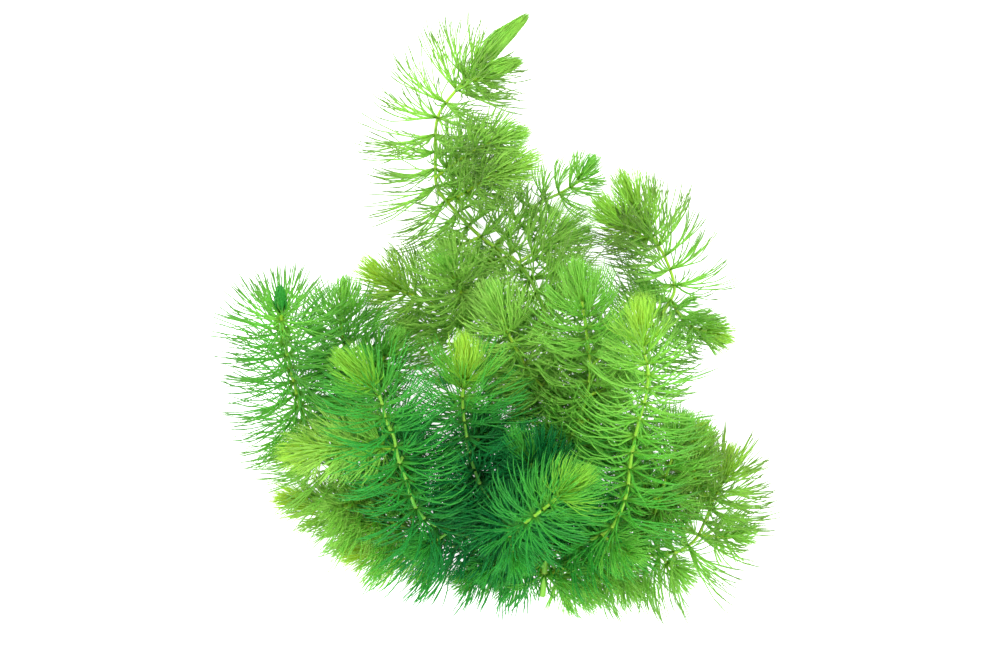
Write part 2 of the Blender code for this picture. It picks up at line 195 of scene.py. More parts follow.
# Each shoot: the shoot it forks from, its bud (length, radius), the size of its leaves, how old it
# looks from 0 to 1, how tightly its bud is closed from 0 to 1, and its route from the tip of the bud
# down to the fork or the cut end
SHOOTS = {
    "main_stem_top": (None, (25, 3.9), 1.14, 0.12, 1, [
        (10.6, 177.3, 24), (-6.6, 160.8, 23), (-12.8, 153, 22), (-18.9, 144.3, 21), (-19.8, 131.5, 20),
        (-19.2, 121.3, 20), (-15, 115.5, 20), (-5.4, 105.6, 21), (7.4, 96.3, 24), (14.1, 84.2, 29),
        (17, 73.3, 32), (18.9, 59.5, 34), (20.2, 43.5, 33), (18.9, 27.5, 30), (17, 11.5, 26),
        (15.4, 0, 22), (14.6, -10, 17.5)]),
    "side_shoot_top": ("main_stem_top", (15, 2.3), 0.55, 0.2, 0.8, [
        (8.2, 161.6, 33), (1, 159.2, 32), (-5.6, 156.6, 29), (-13.2, 152.4, 22)]),
    "side_shoot_middle": ("main_stem_top", (14, 2.6), 0.8, -0.1, 0.1, [
        (13.4, 130.2, 31), (5.1, 127.4, 30), (-3.2, 124.2, 28), (-9.6, 120, 25), (-16, 116.4, 20)]),
    "side_shoot_upper_middle": ("main_stem_top", (12, 2.2), 0.75, -0.1, 0.3, [
        (9.9, 139, 29), (-0.5, 136, 28), (-10, 131.4, 25), (-19.2, 124.8, 20)]),
    "branch_upper_middle": ("main_stem_top", (11, 2), 1.1, 0.1, 0.2, [
        (29.5, 107.4, 21), (21.6, 105.2, 22), (14.4, 101.6, 23), (6.4, 97, 23.5)]),
    "branch_upper_right": ("main_stem_top", (18, 3), 1, 0.15, 0.1, [
        (39.7, 126.1, 26), (43.8, 116.8, 24), (48.6, 107.8, 22), (54.4, 97.9, 21), (57, 88.3, 20),
        (54.7, 83.5, 20), (50.6, 77.1, 20), (45.8, 69.1, 20), (39.4, 57.9, 20), (34.6, 43.5, 20),
        (31, 28.5, 20), (27.5, 17, 20), (16.6, 8.5, 25)]),
    "side_shoot_upper_right": ("branch_upper_right", (15, 2.6), 0.6, 0.25, 0.1, [
        (31, 117.1, 33), (36.2, 112.6, 31), (41, 108.2, 28), (51.1, 103.5, 21.6)]),
    "side_shoot_far_right": ("branch_upper_right", (9, 1.5), 0.55, 0.3, 0.3, [
        (76.2, 72.3, 19), (68.8, 74.6, 19), (62.4, 76.6, 19), (56, 84.6, 20)]),
    "branch_right": ("main_stem_top", (15, 3), 1, 0.45, 0.1, [
        (44.8, 85.1, 70), (46.1, 70.7, 67), (47.7, 62.7, 65), (47.4, 56.3, 63), (45.8, 49.9, 61),
        (44.2, 43.5, 59), (42.6, 35.5, 56), (41.9, 29.1, 53), (41, 23, 50), (36.8, 13.1, 44),
        (28.5, 8, 34), (15.9, 3.5, 23.2)]),
    "branch_lower_right": ("main_stem_top", (10, 2), 1.05, 0.05, 0.2, [
        (74.9, 37.8, 27), (73, 28.2, 23), (69.4, 20.5, 20), (66.6, 13.4, 18), (63.7, 8, 17),
        (58.9, 4.6, 17), (52.2, 3.2, 16), (42.6, 2.6, 16), (30, 1.6, 16), (15.2, -3.5, 20.5)]),
    "side_shoot_lower_right": ("branch_lower_right", (8, 1.4), 0.6, 0.15, 0.3, [
        (66.9, 45.1, 38), (64.3, 41, 36), (63.2, 33.9, 34), (63.6, 27.5, 30), (69, 19.8, 20)]),
    "branch_right_inner": ("branch_lower_right", (10, 1.9), 0.85, 0.45, 0.2, [
        (60.2, 49.3, 42), (57.9, 40.3, 40), (54.7, 31.4, 37), (52.2, 21.8, 33), (49, 13.6, 27),
        (42, 2.6, 16)]),
    "branch_left": ("main_stem_top", (13, 2.5), 1.08, 0.4, 1, [
        (-68.5, 89.9, 63), (-68.5, 82, 54), (-68.2, 76, 48), (-66.8, 67.5, 42), (-64.8, 58.7, 37),
        (-62.6, 49.9, 31), (-58, 39, 26), (-51, 28.5, 21), (-40.6, 17.9, 18), (-27.8, 11.3, 16),
        (-13.4, 6, 15), (0, 2.6, 16.5), (15.5, 0, 22)]),
    "branch_front": ("main_stem_top", (18, 2.2), 1, 0.75, 0.4, [
        (-50.9, 68.5, 79), (-43.8, 62.4, 75), (-37.1, 54.7, 70), (-34.9, 46.7, 67), (-32.6, 41.9, 65),
        (-31.7, 37.1, 63), (-30.4, 32.3, 61), (-28.5, 27.5, 59), (-27.2, 22.7, 56), (-24, 16.7, 50),
        (-16, 11.7, 42), (-3, 8.6, 33), (16.2, 5.5, 24)]),
    "side_shoot_front": ("branch_front", (14, 2.6), 0.8, 0.1, 0.1, [
        (-68.5, 34.6, 47), (-59.8, 37.1, 49), (-50.2, 38.7, 52), (-40.6, 39, 57), (-31.8, 37.8, 63)]),
    "branch_back_left": ("main_stem_top", (16, 3), 0.95, -0.15, 0, [
        (-43.2, 97.3, 26), (-37.4, 92.5, 23), (-31, 88.3, 21), (-21.4, 84.2, 19), (-13.4, 77.1, 18),
        (-7, 65.9, 18), (-2.2, 53.1, 18), (2.6, 40.7, 19), (8, 27.3, 20), (17.6, 16.5, 27.4)]),
    "side_shoot_back": ("branch_back_left", (9, 1.6), 0.85, 0.25, 0.3, [
        (-19.4, 99.4, 40), (-15.6, 95.6, 37), (-12.4, 89.9, 32), (-10.4, 82.5, 26), (-12, 75, 18)]),
    "branch_middle": ("main_stem_top", (16, 2.6), 1, 0.45, 0.4, [
        (-11.5, 73.9, 67), (-9.9, 64.3, 62), (-10.9, 53.8, 57), (-9.9, 43.5, 53), (-7, 30.7, 50),
        (-2.2, 21.5, 46), (4.2, 16.5, 39), (17, 12, 26.2)]),
    "side_shoot_bottom": ("branch_middle", (15, 2.8), 0.95, 0.62, 0.1, [
        (29.1, 31.4, 82), (24, 27.5, 79), (17, 21.1, 74), (9.5, 15.2, 67), (4.6, 12.6, 59),
        (1, 18.8, 42.5)]),
    "branch_lower_left": ("branch_left", (15, 2.8), 0.85, -0.3, 0.1, [
        (-71, 21.1, 15), (-63, 20.2, 12), (-53.4, 17.6, 11), (-43.8, 14, 12), (-30, 12.2, 16.3)]),
    "side_shoot_lower_left": ("branch_left", (12, 2.3), 0.75, -0.25, 0.1, [
        (-50.5, 3.4, 12), (-43.6, 4.4, 10), (-35.6, 5, 9), (-26.4, 4.6, 11), (-17, 7.2, 15.3)]),
    "branch_back_right": ("main_stem_top", (10, 1.7), 0.72, 0.5, 0.45, [
        (32, 131.5, 20), (26.2, 123.5, 18), (20.5, 119.7, 17), (14.7, 117, 17), (9.6, 113.6, 18),
        (-1, 101.8, 22)]),
    "branch_centre_right": ("main_stem_top", (13, 2.5), 0.9, 0.35, 0.2, [
        (26, 97.4, 54), (26.8, 86.7, 52), (28, 77.1, 51), (29.4, 67.5, 49), (29.2, 57.9, 46),
        (26.8, 48.3, 42), (19.8, 34, 32)]),
    "branch_centre": ("main_stem_top", (12, 2.2), 0.9, 0.05, 0.2, [
        (-1.6, 90.9, 46), (1, 82.4, 45), (4.8, 72, 43), (10.6, 62, 39), (19.4, 52, 33.5)]),
    "branch_centre_low": ("main_stem_top", (13, 2.2), 0.9, 0.8, 0.2, [
        (5.4, 44.3, 60), (9.4, 35.7, 57), (12.6, 29.5, 51), (15.6, 24, 42), (18.3, 21, 28.5)]),
    "branch_left_inner": ("branch_left", (13, 2.2), 0.95, 0.5, 0.3, [
        (-48.6, 92.6, 31), (-49.9, 80.3, 28), (-49, 69.8, 25), (-45.4, 57.9, 20), (-40.6, 45.1, 17),
        (-37.4, 30.7, 16), (-34.5, 15, 17.2)]),
    "side_shoot_left_inner": ("branch_left_inner", (11, 2), 0.85, 0.4, 0.3, [
        (-30.6, 75, 38), (-35.2, 68, 33), (-40.2, 61.4, 26), (-45, 56.8, 19.6)]),
}

# How old and how yellow the young leaves look, where not by the rest of their shoot
YOUNG_LOOKS = {
    "main_stem_top": (0.25, 0.4),
    "side_shoot_top": (0.2, 0.4),
    "branch_left": (0.66, 0.0),
    "branch_upper_right": (0.16, 0.6),
    "side_shoot_upper_right": (0.2, 0.55),
    "branch_right": (0.12, 0.9),
    "branch_front": (0.42, 0.75),
    "branch_lower_left": (0.0, 1.5),
    "side_shoot_lower_left": (0.0, 1.5),
    "branch_middle": (0.15, 1.2),
    "branch_back_right": (0.3, 0.0),
    "side_shoot_bottom": (0.4, 0.6),
    "branch_left_inner": (0.25, 0.1),
    "side_shoot_left_inner": (0.25, 0.0),
    "side_shoot_back": (0.2, 0.0),
    "side_shoot_middle": (0.1, 0.4),
    "side_shoot_upper_middle": (0.1, 0.2),
    "branch_upper_middle": (0.2, 0.0),
    "branch_centre": (0.12, 0.0),
    "branch_centre_right": (0.25, 0.1),
    "branch_centre_low": (0.55, 0.0),
    "branch_right_inner": (0.25, 0.0),
}

# Shoots inside the bush, which have fewer young leaves
THIN_BUDS = (
    "branch_upper_middle", "side_shoot_back", "branch_centre", "branch_centre_right",
    "branch_centre_low", "branch_left_inner", "side_shoot_left_inner", "branch_right_inner",
    "side_shoot_far_right", "side_shoot_middle", "side_shoot_upper_middle", "branch_back_right",
)

# Shoots whose whorls stand further apart than on the rest, by a factor, and open wider, in degrees,
# and how many leaves a whorl of them has
OPEN_SHOOTS = {
    "main_stem_top": (1.12, 7.0, 14),
    "branch_upper_right": (1.05, 0.0, 13),
    "branch_front": (1.2, 3.0, 10),
    "branch_left": (1.0, 6.0, 15),
    "side_shoot_bottom": (1.3, 0.0, 12),
    "branch_right": (1.15, 3.0, 10),
    "branch_lower_right": (1.0, 5.0, 15),
    "branch_middle": (1.1, 0.0, 11),
    "branch_back_right": (1.3, 0.0, 9),
}


# The shoots' axes

def smooth_route(points):
    """A curve through all the points, read at short equal steps from the base up to the tip."""
    p = np.array(points[::-1], float)
    p = np.vstack([2 * p[0] - p[1], p, 2 * p[-1] - p[-2]])
    dense = []
    for a, b, c, d in zip(p, p[1:], p[2:], p[3:]):
        spans = [math.sqrt(np.linalg.norm(v - u)) for u, v in ((a, b), (b, c), (c, d))]
        knots = np.cumsum([0.0] + spans)
        for t in np.linspace(knots[1], knots[2], CURVE_STEPS, endpoint=False):
            dense.append(catmull_rom((a, b, c, d), knots, t))
    dense.append(p[-2])
    dense = np.array(dense)
    run = np.concatenate([[0.0], np.cumsum(np.linalg.norm(np.diff(dense, axis=0), axis=1))])
    at = np.linspace(0.0, run[-1], max(2, int(round(run[-1] / ROUTE_STEP))) + 1)
    return np.column_stack([np.interp(at, run, dense[:, i]) for i in range(3)]), at


def catmull_rom(corners, knots, t):
    """The point at t of the centripetal curve through four corners."""
    level = list(corners)
    for width in (1, 2, 3):
        level = [blend_between(level[i], level[i + 1], knots, i, width, t) for i in range(4 - width)]
    return level[0]


def blend_between(start, end, knots, i, width, t):
    low, high = (knots[i], knots[i + width]) if width < 3 else (knots[1], knots[2])
    return (start * (high - t) + end * (t - low)) / (high - low)


def unit(v):
    return v / np.linalg.norm(v, axis=-1, keepdims=True)


class Stem:
    """A shoot's axis: places, directions and a side that turns as little as possible along it."""

    def __init__(self, points):
        self.places, self.run = smooth_route(points)
        self.length = self.run[-1]
        self.ways = unit(np.gradient(self.places, axis=0))
        side = unit(np.cross(self.ways[0], (0.0, 0.0, 1.0)))
        sides = [side]
        for way in self.ways[1:]:
            side = unit(side - way * (side @ way))
            sides.append(side)
        self.sides = np.array(sides)

    def at(self, runs):
        """Places, ways to the tip and two sides across it, at distances from the base."""
        columns = [
            np.column_stack([np.interp(runs, self.run, values[:, i]) for i in range(3)])
            for values in (self.places, self.ways, self.sides)
        ]
        place, way, side = columns[0], unit(columns[1]), unit(columns[2])
        return place, way, side, np.cross(way, side)

    def nearest_run(self, point):
        """How far along the stem its nearest place to a point is."""
        return self.run[int(np.linalg.norm(self.places - point, axis=1).argmin())]

    def radius(self, runs):
        """The stem thickens from its tip to its base, and with the plant's age."""
        below_tip = self.length - np.asarray(runs, float)
        grown = np.minimum(1.0, below_tip / GROWING_LENGTH)
        aged = np.minimum(1.0, below_tip / THICKENING_LENGTH) ** 2
        return TIP_RADIUS + (STEM_RADIUS - TIP_RADIUS) * grown + (BASE_RADIUS - STEM_RADIUS) * aged


def grow_stems():
    """The axis of every shoot. A side shoot's starts on the axis of the shoot that it forks from."""
    stems = {}
    for name, (parent, _, _, _, _, points) in SHOOTS.items():
        if parent:
            fork = stems[parent].at([stems[parent].nearest_run(points[-1])])[0][0]
            points = points[:-1] + [tuple(fork)]
        stems[name] = Stem(points)
    return stems


# Where whorls stand and what their leaves are like

def whorl_runs(stem, lowest, bud_length, drawn_out=1.0, closed=0.0):
    """Where the open whorls stand, from the one under the bud down to the lowest. Under a closed bud
    the first ones already stand apart."""
    runs = []
    run = stem.length - bud_length
    internode = FIRST_INTERNODE * (1 + CLOSED_BUD_GAP * closed ** 2)
    while run > lowest:
        runs.append(run)
        run -= internode * drawn_out
        internode = min(internode * INTERNODE_GROWTH, LONGEST_INTERNODE)
    return runs


def open_leaf(above_base, below_bud, size):
    """Length, opening, arch and width of a leaf, from where its whorl is on the shoot."""
    ripe = 1 - math.exp(-below_bud / LEAF_RIPENING)
    opened = 1 - math.exp(-below_bud / OPENING_LENGTH)
    worn = OLDEST_SIZE + (1 - OLDEST_SIZE) * min(1.0, above_base / OLD_LENGTH)
    length = size * min(YOUNG_LEAF + (FULL_LEAF - YOUNG_LEAF) * ripe, FULL_LEAF * worn)
    opening = YOUNG_OPENING + (FULL_OPENING - YOUNG_OPENING) * opened
    arch = YOUNG_ARCH + (FULL_ARCH - YOUNG_ARCH) * opened
    return length, opening, arch, YOUNG_WIDTH + RIPENED_WIDTH * ripe


def bud_leaf(above_bud, bud_length, bud_radius, outer, loose):
    """The same for a young leaf. A closed one bows out and in again over the tip of the bud, and a
    loose one stands off like a hair of a brush."""
    left = bud_length - above_bud
    share = left / bud_length
    length = left * (BUD_REACH - OUTER_SHORT * outer) + BRUSH_TIP * loose
    bow = math.degrees(BUD_BOW * bud_radius * share ** BUD_TAPER / length)
    opening = (BRUSH_CLOSED + BRUSH_OPENING * outer) * loose
    width = BUD_LEAF_WIDTH[0] + BUD_LEAF_WIDTH[1] * share
    return length, opening, bow * (1 - loose) + BRUSH_ARCH * loose, width


class Leaves:
    """The leaves of one shoot as columns of numbers, one row for each leaf."""

    def __init__(self):
        self.rows = []

    def add(self, place, way, out, leaf, freedom, age, youth, rng):
        """One leaf, as different from its neighbours as its freedom lets it be."""
        length, opening, arch, width = leaf
        spread = CLOSED_SPREAD + (1 - CLOSED_SPREAD) * freedom
        self.rows.append([
            *place, *way, *out,
            length * (1 + freedom * rng.uniform(*LENGTH_CHANCE)),
            opening + freedom * rng.uniform(*OPENING_CHANCE),
            arch + freedom * rng.uniform(*ARCH_CHANCE),
            freedom * rng.uniform(*SWAY_CHANCE),
            FIRST_SPREAD * spread * rng.uniform(*FIRST_SPREAD_CHANCE),
            SECOND_SPREAD * freedom * rng.uniform(*SECOND_SPREAD_CHANCE),
            math.radians(freedom * rng.uniform(*ROLL_CHANCE)),
            width * LEAF_RADIUS,
            age + rng.uniform(*AGE_CHANCE),
            youth,
            *rng.uniform(*PRONG_CHANCE, 4),
        ])

    def columns(self):
        table = np.array(self.rows)
        return table[:, 0:3], table[:, 3:6], table[:, 6:9], table[:, 9:19].T, table[:, 19:23]


# One leaf's mesh, which every leaf repeats in its own bends and sizes

def bridge(low, low_angles, high, high_angles):
    """Triangles between two rings, given with the angles of their corners."""
    faces = []
    i = j = 0
    while i < len(low) or j < len(high):
        next_low = low_angles[(i + 1) % len(low)] + 360 * ((i + 1) // len(low))
        next_high = high_angles[(j + 1) % len(high)] + 360 * ((j + 1) // len(high))
        if j == len(high) or (i < len(low) and next_low <= next_high):
            faces.append((low[i % len(low)], low[(i + 1) % len(low)], high[j % len(high)]))
            i += 1
        else:
            faces.append((low[i % len(low)], high[(j + 1) % len(high)], high[j % len(high)]))
            j += 1
    return faces


class LeafPattern:
    """The corners and faces of a leaf that forks twice. Corners sit around four paths, one to each
    tip. A small young leaf has fewer rings along it, and no teeth."""

    ROOT = (30, 150, 270)
    FORK = (0, 90, 180, 270)
    LEFT = (60, 180, 300)
    RIGHT = (0, 120, 240)

    def __init__(self, young):
        if young:
            self.stations = [0.0, FIRST_FORK, SECOND_FORK, *YOUNG_TIP_RINGS, 1.0]
        else:
            self.stations = [0.0, FIRST_FORK, ARM_RING, SECOND_FORK, *TIP_RINGS, 1.0]
        self.fork_station = self.stations.index(SECOND_FORK)
        self.path, self.station, self.angle, self.wide = [], [], [], []
        self.faces = []
        self.toothed = []
        root = self.ring(0, 0, self.ROOT, ROOT_WIDE)
        self.faces.append(tuple(root[::-1]))
        first = self.ring(0, 1, self.FORK, FORK_WIDE)
        self.faces += bridge(root, self.ROOT, first, self.FORK)
        prongs = (self.LEFT, self.RIGHT)
        for arm, angles in enumerate(prongs):
            path = 2 * arm
            base = self.part(first, angles)
            for station in range(2, self.fork_station):
                base = self.lengthen(base, angles, path, station)
            second = self.ring(path, self.fork_station, self.FORK, FORK_WIDE)
            self.faces += bridge(base, angles, second, self.FORK)
            for tip, tip_angles in enumerate(prongs):
                self.grow_tip(self.part(second, tip_angles), tip_angles, path + tip, not young)

    def ring(self, path, station, angles, wide=1.0):
        first = len(self.path)
        for angle in angles:
            self.path.append(path)
            self.station.append(station)
            self.angle.append(angle)
            self.wide.append(wide)
        return list(range(first, len(self.path)))

    def part(self, fork, angles):
        """The three corners of a fork's ring that one prong grows from."""
        right, top, left, bottom = fork
        return [top, left, bottom] if angles is self.LEFT else [right, top, bottom]

    def lengthen(self, base, angles, path, station):
        """One more ring on a prong."""
        ring = self.ring(path, station, angles)
        self.faces += bridge(base, angles, ring, angles)
        return ring

    def grow_tip(self, base, angles, path, toothed):
        """The last prong, with a tooth drawn out of one face of its second stretch."""
        last_station = len(self.stations) - 1
        last = base
        for station in range(self.fork_station + 1, last_station):
            ring = self.ring(path, station, angles)
            stretch = bridge(last, angles, ring, angles)
            if toothed and station == last_station - 1:
                self.toothed.append(stretch.pop((2 + path) % len(stretch)))
            self.faces += stretch
            last = ring
        tip = self.ring(path, last_station, (0,), 0.0)[0]
        for i in range(3):
            self.faces.append((last[i], last[(i + 1) % 3], tip))

    def finish(self):
        """The pattern as arrays, each tooth a corner of its own above the face that it grows from."""
        first_tooth = len(self.path)
        faces = list(self.faces)
        for i, (a, b, c) in enumerate(self.toothed):
            tooth = first_tooth + i
            faces += [(a, b, tooth), (b, c, tooth), (c, a, tooth)]
        angle, wide = np.radians(self.angle), np.array(self.wide)
        corners = (np.array(self.path), np.array(self.station), angle, wide)
        return corners, np.array(faces), np.array(self.toothed, int).reshape(-1, 3)


def parting(spread, share, fork, easing):
    """How far prongs turn aside, in degrees: most right after their fork, and less towards the tips."""
    return spread * (PARTING - easing * (share - fork) / (1 - fork))


def leaf_paths(way, out, bends, tip_lengths, stations):
    """The four paths of each leaf from its root, with the direction at each station and the side
    that the leaf forks towards."""
    length, opening, arch, sway, first_spread, second_spread, roll = bends
    across = np.cross(way, out)
    middle = [(a + b) / 2 for a, b in zip(stations, stations[1:])]
    places = np.zeros((len(length), 4, len(stations), 3))
    ways, sides = np.zeros_like(places), np.zeros_like(places)
    for path in range(4):
        first_side = -1 if path < 2 else 1
        second_side = -1 if path % 2 == 0 else 1
        for j, share in enumerate(middle):
            lean = np.radians(opening + arch * (1 - 2 * share))
            turn = sway * share
            if share > FIRST_FORK:
                turn = turn + parting(first_side * first_spread, share, FIRST_FORK, FIRST_EASING)
            if share > SECOND_FORK:
                turn = turn + parting(second_side * second_spread, share, SECOND_FORK, SECOND_EASING)
            turn = np.radians(turn)
            forward = np.cos(lean)[:, None] * way + np.sin(lean)[:, None] * out
            upward = np.cos(lean)[:, None] * out - np.sin(lean)[:, None] * way
            side = np.cos(roll)[:, None] * across + np.sin(roll)[:, None] * upward
            direction = np.cos(turn)[:, None] * forward + np.sin(turn)[:, None] * side
            step = length * (stations[j + 1] - stations[j])
            if share > SECOND_FORK:
                step = step * tip_lengths[:, path]
            places[:, path, j + 1] = places[:, path, j] + step[:, None] * direction
            ways[:, path, j + 1], sides[:, path, j + 1] = direction, side
        ways[:, path, 0], sides[:, path, 0] = ways[:, path, 1], sides[:, path, 1]
    return places, ways, sides


def leaf_meshes(leaves, pattern):
    """Corners, faces and tones of all the leaves of a shoot: their age with painted shade and painted light
    in it, how far along them, and youth.
    """
    root, way, out, (*bends, girth, age, youth), tip_lengths = leaves.columns()
    (path, station, angle, wide), faces, toothed = pattern.finish()
    stations = pattern.stations
    places, ways, sides = leaf_paths(way, out, bends, tip_lengths, stations)
    places += root[:, None, None, :]
    share = np.array(stations)[station]
    thick = 1 - (1 - TIP_SHARE) * share ** TIP_TAPER
    thick[share <= FIRST_FORK] *= LEAF_FOOT
    radius = girth[:, None] * thick * wide
    forward, side = ways[:, path, station], sides[:, path, station]
    sideways = unit(side - forward * np.sum(forward * side, axis=2, keepdims=True))
    upward = np.cross(forward, sideways)
    corners = places[:, path, station] + radius[..., None] * (
        LEAF_WIDTH * np.cos(angle)[None, :, None] * sideways
        + LEAF_HEIGHT * np.sin(angle)[None, :, None] * upward
    )
    a, b, c = (corners[:, toothed[:, i]] for i in range(3))
    outward = unit(np.cross(b - a, c - a))
    tooth_length = TOOTH_LENGTH * (girth / LEAF_RADIUS)[:, None, None]
    lean = TOOTH_OUTWARD * outward + TOOTH_FORWARD * forward[:, toothed[:, 1]]
    teeth = (a + b + c) / 3 + tooth_length * lean
    corners = np.concatenate([corners, teeth], axis=1)
    along = np.concatenate([share, share[toothed[:, 1]]])
    if not len(toothed):
        along = along * YOUNG_ALONG
    count, width = len(root), corners.shape[1]
    all_faces = (faces[None] + (np.arange(count) * width)[:, None, None]).reshape(-1, 3)
    tones = np.column_stack([np.repeat(age, width), np.tile(along, count), np.repeat(youth, width)])
    return corners.reshape(-1, 3), all_faces, tones


# Stems and bud cores

def stem_rings(end, nodes):
    """Distances of the stem's rings up to its bud, closer at its nodes."""
    runs = set(np.round(np.arange(0.0, end, STEM_RING_STEP), 3))
    for node in nodes:
        runs.update(round(node + shift * NODE_HALF_HEIGHT, 3) for shift in (-1, -0.5, 0, 0.5, 1))
    return np.array(sorted(r for r in runs if 0.0 <= r <= end))


def stem_mesh(stem, parent, nodes, bud, closed):
    """A ribbed stem that swells at its nodes and ends in the core of its bud."""
    bud_length, bud_radius = bud
    bud_base = stem.length - bud_length
    runs = stem_rings(bud_base, nodes)
    radius = stem.radius(runs)
    if len(nodes):
        near = np.abs(runs[:, None] - np.array(nodes)[None]).min(axis=1)
        radius = radius * (1 + NODE_SWELLING * np.exp(-(near / NODE_REACH) ** 2))
    else:
        near = np.full(len(runs), LONGEST_INTERNODE)
    if parent:
        radius = radius * (1 + FORK_FLARE * np.exp(-runs / FORK_FLARE_LENGTH))
    core_shares = np.array(CORE_RINGS)
    core_width = BRUSH_CORE + (BUD_CORE - BRUSH_CORE) * closed
    core = bud_radius * core_width * np.sin(np.pi * core_shares ** CORE_SKEW)
    core = np.maximum(core, TIP_RADIUS * (1 - core_shares))
    runs = np.concatenate([runs, bud_base + core_shares * bud_length])
    radius = np.concatenate([radius, core])
    near = np.concatenate([near, np.full(len(core), LONGEST_INTERNODE)])
    place, way, side, other = stem.at(runs)
    turns = np.arange(STEM_SIDES) * 2 * math.pi / STEM_SIDES
    ribbed = 1 + RIB_HEIGHT * np.cos(turns * RIB_COUNT)
    rings = place[:, None] + (radius[:, None] * ribbed[None])[..., None] * (
        np.cos(turns)[None, :, None] * side[:, None] + np.sin(turns)[None, :, None] * other[:, None]
    )
    faces = []
    last = (len(runs) - 1) * STEM_SIDES
    for low in range(0, last, STEM_SIDES):
        high = low + STEM_SIDES
        faces += [(low + k, low + m, high + m, high + k) for k, m in ROUND_STEM]
    corners = list(rings.reshape(-1, 3))
    top = len(corners)
    corners.append(stem.at([stem.length - CORE_END])[0][0])
    faces += [(last + k, last + m, top) for k, m in ROUND_STEM]
    cut_faces = close_base(corners, faces, place[0], way[0], not parent)
    at_base = len(corners) - top - 1
    node_near = np.append(np.repeat(near, STEM_SIDES), [LONGEST_INTERNODE] * (1 + at_base))
    run_at = np.append(np.repeat(runs, STEM_SIDES), [stem.length] + [0.0] * at_base)
    return np.array(corners), faces, node_near, run_at, cut_faces


def close_base(corners, faces, place, way, is_cut):
    """The end of the stem: a slightly sunken cut on the main stem, a plain cap inside a fork."""
    outer = list(range(STEM_SIDES))
    first_cut_face = len(faces)
    if is_cut:
        inner = list(range(len(corners), len(corners) + STEM_SIDES))
        corners += [place + (corners[k] - place) * CUT_RIM + way * CUT_DEPTH for k in outer]
        faces += [(outer[m], outer[k], inner[k], inner[m]) for k, m in ROUND_STEM]
        outer = inner
    middle = len(corners)
    corners.append(place + (way * CUT_DEPTH if is_cut else 0.0))
    faces += [(outer[m], outer[k], middle) for k, m in ROUND_STEM]
    return range(first_cut_face, len(faces)) if is_cut else range(0)


# Materials: sockets with arithmetic, and one method for every other node

class Value:
    """A number socket of a material. Sums and products of values add Math nodes."""

    def __init__(self, look, socket):
        self.look = look
        self.socket = socket

    def math(self, operation, first, second):
        return self.look.node("ShaderNodeMath", {"operation": operation}, {0: first, 1: second})

    def __add__(self, other):
        return self.math("ADD", self, other)

    __radd__ = __add__

    def __mul__(self, other):
        return self.math("MULTIPLY", self, other)

    __rmul__ = __mul__

    def __sub__(self, other):
        return self.math("SUBTRACT", self, other)

    def __rsub__(self, other):
        return self.math("SUBTRACT", other, self)

    def clamped(self):
        return self.look.node("ShaderNodeClamp", {}, {"Value": self})


class Look:
    """A material and the nodes behind its shader."""

    def __init__(self, name, colour):
        self.material = bpy.data.materials.new(name)
        self.material.use_nodes = True
        self.material.diffuse_color = colour4(colour)
        self.tree = self.material.node_tree
        self.shader = self.tree.nodes["Principled BSDF"]

    def node(self, kind, settings, inputs, output=0):
        """A node of a kind with its settings made first, then its sockets' values or links."""
        node = self.tree.nodes.new(kind)
        for name, value in settings.items():
            if name == "stops":
                self.set_stops(node.color_ramp, value)
            else:
                setattr(node, name, value)
        for name, value in inputs.items():
            self.feed(node.inputs[name], value)
        return Value(self, node.outputs[output])

    @staticmethod
    def set_stops(ramp, stops):
        while len(ramp.elements) < len(stops):
            ramp.elements.new(1.0)
        for element, (place, colour) in zip(ramp.elements, stops):
            element.position = place
            element.color = colour4(colour)

    def feed(self, socket, value):
        if isinstance(value, Value):
            self.tree.links.new(value.socket, socket)
        else:
            socket.default_value = value

    def attribute(self, name):
        return self.node("ShaderNodeAttribute", {"attribute_name": name}, {}, "Fac")

    def place(self):
        return self.node("ShaderNodeTexCoord", {}, {}, "Object")

    def noise(self, where, scale, detail):
        inputs = {"Vector": where, "Scale": scale, "Detail": detail, "Roughness": NOISE_ROUGHNESS}
        return self.node("ShaderNodeTexNoise", {}, inputs)

    def ramp(self, value, stops):
        return self.node("ShaderNodeValToRGB", {"stops": stops}, {"Fac": value}, "Color")

    def fading(self, value, stops):
        """A number between the 0 and 1 of black and white stops."""
        return self.node("ShaderNodeSeparateColor", {}, {0: self.ramp(value, stops)})

    def mix(self, share, first, second, blend="MIX"):
        settings = {"data_type": "RGBA", "blend_type": blend}
        return self.node("ShaderNodeMix", settings, {0: share, 6: first, 7: second}, 2)

    def bump(self, height, strength, distance):
        return self.node("ShaderNodeBump", {}, {"Height": height, "Strength": strength, "Distance": distance})

    def let_through(self, share, colour):
        """Mixes in a share of the light that comes from behind."""
        behind = self.node("ShaderNodeBsdfTranslucent", {}, {"Color": colour})
        front = Value(self, self.shader.outputs["BSDF"])
        both = self.node("ShaderNodeMixShader", {}, {0: share, 1: front, 2: behind})
        self.feed(self.tree.nodes["Material Output"].inputs["Surface"], both)

    def finish(self, **sockets):
        for name, value in sockets.items():
            self.feed(self.shader.inputs[name.replace("_", " ").title().replace("Ior", "IOR")], value)
        return self.material


BLACK = (0.0, 0.0, 0.0)
WHITE = (1.0, 1.0, 1.0)
YELLOW = (0.62, 0.80, 0.03)
YOUNG = (0.405, 0.77, 0.125)
FRESH = (0.225, 0.66, 0.075)
RIPE = (0.06, 0.49, 0.055)
OLD = (0.004, 0.25, 0.052)
OLIVE = (0.078, 0.135, 0.045)
STEM_LIGHT = (0.29, 0.51, 0.012)
STEM_OLD = (0.08, 0.34, 0.04)
STREAK = (0.72, 0.74, 0.6)
NODE_BROWN = (0.40, 0.55, 0.08)
PITH = (0.50, 0.60, 0.25)
PITH_RING = (0.22, 0.36, 0.10)
